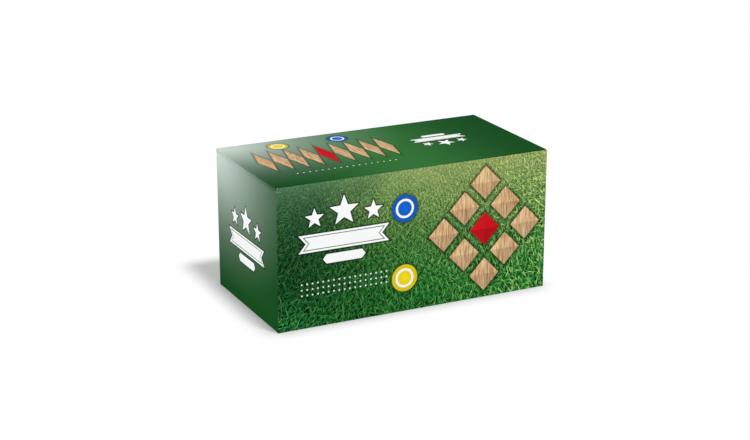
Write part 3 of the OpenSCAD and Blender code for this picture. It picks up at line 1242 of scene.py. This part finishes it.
@dataclass
class Closure:
    """The lid with its tuck flap, and the two dust flaps under it."""

    prints: Prints
    tuck_lean: float = math.radians(8.0)
    tuck_length: float = 20.0 * MM
    tuck_corner: float = 11.0 * MM
    tuck_steps: int = 12
    dust_taper: float = math.radians(15.0)

    def axis(self, joint: str, node: str, along: int) -> list[Vector]:
        """Finds a joint's axis, as long as a node's box.

        Args:
            joint: The joint.
            node: The node.
            along: The axis's direction, 0 for X or 1 for Y.

        Returns:
            Its two ends.
        """
        place = next(item["pos_m"] for item in frame["joints"] if item["name"] == joint)
        ends = [Vector(place), Vector(place)]
        for end, corner in zip(ends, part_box(node)):
            end[along] = corner[along]
        return ends

    def hang(self, board: Board, name: str, node: str, fold: Fold, face: Face) -> None:
        """Ends a flap with a round bead on its fold, and bends paper over that.

        Args:
            board: The flap's flat board.
            name: The piece's name.
            node: The node it stands for.
            fold: The fold it hangs on.
            face: The print that goes on over the fold.
        """
        board.shell.rod(*fold.ends, SIZE.board / 2)
        board.build(name, fold.moving_body, "print_green", node)
        fold.strip(self.prints.of(face, board.across))

    def lid(self) -> None:
        """Builds the top panel and its rear fold."""
        low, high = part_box("lid_panel")
        ends = self.axis("lid_fold", "lid_panel", 0)
        outline = rectangle(high.x - low.x, ends[0].y - low.y)
        origin = Vector((low.x, low.y, high.z - SIZE.board))
        board = Board(outline, origin, X, Y, self.prints.of(Face.TOP, X), (0, 1, 3))
        fold = Fold("lid_crease", ends, Y, Z, "carton", "lid")
        self.hang(board, "lid_board", "lid_panel", fold, Face.TOP)

    def tuck(self) -> None:
        """Builds the flap that tucks in behind the front."""
        ends = self.axis("tuck_fold", "tuck_flap", 0)
        width, corner = ends[1].x - ends[0].x, self.tuck_corner
        down = Vector((0.0, math.sin(self.tuck_lean), -math.cos(self.tuck_lean)))
        out = Vector((0.0, -math.cos(self.tuck_lean), -math.sin(self.tuck_lean)))
        shoulder = self.tuck_length - corner
        left = [
            (corner * (1 - math.cos(angle)), shoulder + corner * math.sin(angle))
            for angle in steps(0.0, math.pi / 2, self.tuck_steps)
        ]
        right = [(width - u, v) for u, v in reversed(left)]
        outline = [(width, 0.0), *reversed(right), *reversed(left), (0.0, 0.0)]
        origin = ends[1] - out * (SIZE.board / 2)
        board = Board(outline, origin, -X, down, self.prints.of(Face.TOP, X))
        fold = Fold("tuck_crease", ends, Z, out, "lid", "tuck")
        self.hang(board, "tuck_board", "tuck_flap", fold, Face.TOP)

    def dust_flap(self, name: str, side: int, face: Face) -> None:
        """Builds one dust flap.

        Args:
            name: Its end of the carton.
            side: -1 for the left end, 1 for the right.
            face: The end's print.
        """
        node = f"dust_flap_{name}"
        low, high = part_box(node)
        ends = self.axis(f"dust_{name}_fold", node, 1)
        deep = (high.x - low.x) - SIZE.board / 2
        front, back = low.y, high.y
        tip_front = front + deep * math.tan(self.dust_taper)
        corners = [(0.0, back), (deep, back - deep), (deep, tip_front), (0.0, front)]
        # u runs along the fold, to the front at the left end and to the back at the right
        outline = [((y - front) * side, v) for v, y in corners]
        origin = ends[0] - Z * (SIZE.board / 2)
        board = Board(outline, origin, Y * side, -X * side, self.prints.of(Face.UNDER, Y))
        fold = Fold(f"dust_crease_{name}", ends, X * side, Z, "carton", f"dust_{name}")
        self.hang(board, f"{node}_board", node, fold, face)


@dataclass
class PinShape:
    """Profile of a turned pin, in millimetres from its foot."""

    height: float = 218.0
    belly: float = 24.5
    belly_at: float = 0.3
    foot: float = 15.5
    foot_round: float = 2.0
    neck: float = 11.5
    neck_at: float = 0.735
    shoulder: float = 140.0
    throat: float = 58.0
    head: float = 17.5
    collar: float = 15.0
    collar_half: float = 2.8
    collar_drop: float = 24.5
    collar_arc: Point2 = (-46.0, 90.0)  # degrees from square to the axis
    groove: float = 10.5
    groove_ease: float = 0.4

    @property
    def head_at(self) -> float:
        """Height of the head's centre."""
        return self.height - self.head

    @property
    def collar_at(self) -> float:
        """Height of the collar bead's middle."""
        return self.head_at - self.collar_drop

    def bead(self, middle: Point2, radius: float, angles: Sequence[float]) -> list[Point2]:
        """Samples a circle about a point given as height and radius."""
        along, out = middle
        return [(along + radius * math.sin(a), out + radius * math.cos(a)) for a in angles]

    def profile(self) -> list[Point2]:
        """Draws the profile from the foot's middle to the head's tip.

        Returns:
            Points as height and radius, in order.
        """
        belly_z, neck_z = self.height * self.belly_at, self.height * self.neck_at
        foot_dx, foot_dz = self.belly - self.foot, belly_z - self.foot_round
        foot_arc = (foot_dx ** 2 + foot_dz ** 2) / (2 * foot_dx)
        arc_dx, arc_dz = self.belly - self.neck, neck_z - belly_z
        arc_sum = (arc_dx ** 2 + arc_dz ** 2) / (2 * arc_dx)
        waist = arc_sum - self.shoulder
        join_z = belly_z + arc_dz * self.shoulder / arc_sum
        flat = self.foot - self.foot_round
        points = [(0.0, 0.0), (0.0, flat * 0.6)]
        points += self.bead((self.foot_round, flat), self.foot_round, steps(-math.pi / 2, 0.0, 5))
        bead_low = self.collar_at - self.collar_half * 0.72
        bead_high = self.collar_at + self.collar_half
        # each arc: height and radius where the pin is widest or narrowest, the arc's own
        # radius, negative for a hollow, the height where it ends, and its points
        arcs = (
            (belly_z, self.belly, foot_arc, belly_z, 14),
            (belly_z, self.belly, self.shoulder, join_z, 10),
            (neck_z, self.neck, -waist, neck_z, 12),
            (neck_z, self.neck, -self.throat, bead_low, 5),
        )
        for at, edge, radius, end, count in arcs:
            for height in steps(points[-1][0], end, count)[1:]:
                reach = math.sqrt(radius ** 2 - (height - at) ** 2)
                points.append((height, edge - radius + math.copysign(reach, radius)))
        rim = (self.collar_at, self.collar - self.collar_half)
        start, end = [math.radians(angle) for angle in self.collar_arc]
        points += self.bead(rim, self.collar_half, steps(start, end, 8))
        meet = self.head_at - math.sqrt(self.head ** 2 - self.groove ** 2)
        ease = self.groove_ease
        groove = ((bead_high, ease), (bead_high + 0.5, 0.0), (meet - ease, 0.0))
        points += [(height, self.groove + proud) for height, proud in groove]
        start = math.asin((meet - self.head_at) / self.head)
        head = steps(start, math.pi / 2, 24)[1:]
        return points + self.bead((self.head_at, 0.0), self.head, head)


def lathe(node: str, profile: Sequence[Point2], sides: int, material: Material) -> None:
    """Turns a profile about an axis along X, in place of a node that lies loose.

    Args:
        node: The node it stands for.
        profile: Points as distance along the axis and radius; the first and
            last lie on the axis.
        sides: Points round the axis.
        material: The finish.
    """
    low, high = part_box(node)
    foot = (low + high) / 2 - X * (profile[0][0] + profile[-1][0]) / 2 * MM
    shell = Shell()
    angles = steps(0.0, math.tau, sides)[:-1]
    tips = shell.corners([foot + X * profile[end][0] * MM for end in (0, -1)])
    rings = [
        shell.corners(around(foot + X * along * MM, Y * radius * MM, Z * radius * MM, angles))
        for along, radius in profile[1:-1]
    ]
    for here in range(sides):
        there = (here + 1) % sides
        shell.face((tips[0], rings[0][there], rings[0][here]), 0, True)
        shell.face((tips[1], rings[-1][here], rings[-1][there]), 0, True)
        for lower, upper in zip(rings, rings[1:]):
            shell.face((lower[here], lower[there], upper[there], upper[here]), 0, True)
    piece = shell.piece(f"{node}_turned", [material])
    piece.data.set_sharp_from_angle(angle=SHARP)
    dress(piece, f"{node}_loose", node)


@dataclass
class Contents:
    """The nine pins and the two balls."""

    shape: PinShape
    groove_end: float = 14.0
    pin_sides: int = 72
    ball_sides: int = 96
    ball_dimple: float = 2.2
    ball_dip: float = 0.35

    def pins(self) -> None:
        """Turns the pins where they lie."""
        foot_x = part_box("pin_2")[0].x / MM
        bead_top = self.shape.collar_at + self.shape.collar_half
        groove = (foot_x + bead_top, foot_x + self.shape.head_at - self.groove_end)
        wood = TurnedWood(groove).material()
        red = Lacquer("red_lacquer", srgb(196, 18, 24), srgb(120, 6, 12)).material()
        lathe("king_pin", self.shape.profile(), self.pin_sides, red)
        for number in range(2, 10):
            lathe(f"pin_{number}", self.shape.profile(), self.pin_sides, wood)

    def ball_profile(self, radius: float) -> list[Point2]:
        """Draws a ball's profile, with the lathe's small dimple at each end.

        Args:
            radius: The ball's radius.

        Returns:
            Points as distance along the axis and radius.
        """
        start = math.asin(self.ball_dimple / radius)
        angles = steps(start, math.pi - start, 48)
        arc = [(radius - radius * math.cos(angle), radius * math.sin(angle)) for angle in angles]
        near = arc[0][0]
        first = [(near + self.ball_dip, 0.0), (near + self.ball_dip * 0.8, self.ball_dimple * 0.5)]
        last = [(2 * radius - along, ring) for along, ring in reversed(first)]
        return [*first, *arc, *last]

    def balls(self) -> None:
        """Turns the two balls."""
        paints = {
            "yellow": Lacquer("yellow_lacquer", srgb(243, 206, 16), srgb(206, 150, 6)),
            "blue": Lacquer("blue_lacquer", srgb(18, 92, 204), srgb(8, 48, 130)),
        }
        for colour, paint in paints.items():
            low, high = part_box(f"{colour}_ball")
            profile = self.ball_profile((high.z - low.z) / 2 / MM)
            lathe(f"{colour}_ball", profile, self.ball_sides, paint.material())


@dataclass
class Studio:
    """Camera, lamps, world and floor."""

    azimuth: float = math.radians(-26.2)
    elevation: float = math.radians(18.41)
    distance: float = 12.46
    shift_right: float = -0.045
    shift_up: float = -0.015
    lens: float = 85.56
    clip: Point2 = (0.05, 50.0)
    ambient: float = 0.42
    lamp_aim: float = 0.07
    floor_half: float = 6.0
    floor_low: float = -0.0002
    # painted shadow: the camera sees the floor grey in a patch round the carton, set back behind
    # it, and white beyond
    shadow_patch_grey: Colour = (0.8, 0.8, 0.8)
    floor_lift: float = 0.02
    shadow_reach: float = 0.035
    shadow_front_left: Point2 = (0.005, 0.011)
    shadow_back_right: Point2 = (-0.015, 0.06)

    def aim(self, thing: bpy.types.Object, place: Vector, look: Vector) -> None:
        """Puts a lamp or the camera somewhere and turns it.

        Args:
            thing: The lamp or the camera.
            place: Where it goes.
            look: The direction it faces.
        """
        thing.location = place
        thing.rotation_mode = "QUATERNION"
        thing.rotation_quaternion = look.to_track_quat("-Z", "Y")

    def camera(self) -> None:
        """Places the camera where the photograph was taken from."""
        turn, rise = self.azimuth, self.elevation
        back = (X * math.sin(turn) - Y * math.cos(turn)) * math.cos(rise) + Z * math.sin(rise)
        look = (-back).to_track_quat("-Z", "Y")
        data = bpy.data.cameras.new("camera")
        data.lens = self.lens
        data.clip_start, data.clip_end = self.clip
        aside = look @ X * self.shift_right + look @ Y * self.shift_up
        camera = stand("camera", data)
        self.aim(camera, (Z / 2 + aside + back * self.distance) * SIZE.height, -back)
        bpy.context.scene.camera = camera

    def lamps(self) -> None:
        """Hangs soft square lamps: key in front, and low fills at both sides and behind."""
        lamps = (  # name, place, size and power
            ("key", (0.5, -1.35, 1.85), 0.5, 26.0),
            ("fill", (-1.9, -0.5, 0.55), 1.2, 12.5),
            ("side", (1.85, -0.55, 0.6), 1.2, 6.5),
            ("rear", (-0.8, 1.8, 0.8), 1.2, 15.0),
        )
        for name, place, size, power in lamps:
            data = bpy.data.lights.new(name, "AREA")
            data.shape, data.size, data.energy = "SQUARE", size, power
            self.aim(stand(name, data), Vector(place), Z * self.lamp_aim - Vector(place))

    def world(self) -> None:
        """Sets even light for the scene and white for what the camera sees."""
        world = bpy.data.worlds.new("studio")
        world.use_nodes = True
        graph = Graph(world.node_tree)
        ambient = {"Color": (0.97, 0.985, 1.0), "Strength": self.ambient}
        light = graph.node("ShaderNodeBackground", {}, ambient)
        white = graph.node("ShaderNodeBackground", {}, {"Color": WHITE, "Strength": 1.0})
        mix = graph.node("ShaderNodeMixShader", {}, {0: graph.seen(), 1: light, 2: white})
        graph.node("ShaderNodeOutputWorld", {}, {"Surface": mix})
        bpy.context.scene.world = world

    def floor(self) -> None:
        """Lays a pale floor: a grey patch round the carton, a painted shadow that also keeps the
        lamps' real one, and white beyond.
        """
        graph = Finish("pale_floor")
        x, y, _ = graph.place(1.0)
        grain = graph.noise((x, y, 0.0), 3.0, 2.0)
        sides = (SIZE.length, SIZE.depth)
        rows = zip((x, y), sides, self.shadow_front_left, self.shadow_back_right)
        off = [
            (abs(place - (low + high) / 2) - (size + high - low) / 2).most(0.0)
            for place, size, low, high in rows
        ]
        # painted shadow: the grey patch, darker than the white beyond even where the lamps cast no
        # shadow
        away = length(*off).rise(0.0, self.shadow_reach)
        white = graph.node("ShaderNodeEmission", {}, {"Color": WHITE})
        share = (away * (1 - self.floor_lift) + self.floor_lift) * graph.seen()
        shares = {0: share, 1: graph.shader, 2: white}
        mix = graph.node("ShaderNodeMixShader", {}, shares)
        grey = {"Base_Color": self.shadow_patch_grey, "Specular_IOR_Level": 0.1}
        material = graph.finish(mix, Roughness=0.7 + grain * 0.1, **grey)
        half, low = self.floor_half, self.floor_low
        mesh = bpy.data.meshes.new("floor")
        corners = [(-half, -half, low), (half, -half, low), (half, half, low), (-half, half, low)]
        mesh.from_pydata(corners, [], [(0, 1, 2, 3)])
        mesh.materials.append(material)
        stand("floor", mesh)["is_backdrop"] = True


def main() -> None:
    """Builds the camera and the studio, then the carton and what it holds."""
    logging.basicConfig(level=logging.INFO, format="%(message)s")
    bpy.context.scene.view_settings.view_transform = "Standard"
    studio = Studio()
    for build in (studio.camera, studio.lamps, studio.world, studio.floor):
        build()
    prints = Prints()
    tube, closure, contents = Tube(prints), Closure(prints), Contents(PinShape())
    for build in (tube.walls, tube.flaps, closure.lid, closure.tuck):
        build()
    closure.dust_flap("left", -1, Face.LEFT)
    closure.dust_flap("right", 1, Face.RIGHT)
    contents.pins()
    contents.balls()
    boxes = {"cad": CAD_BOX, "visual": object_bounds()}
    boxes = {name: [list(corner) for corner in box] for name, box in boxes.items()}


if __name__ == "__main__":
    main()
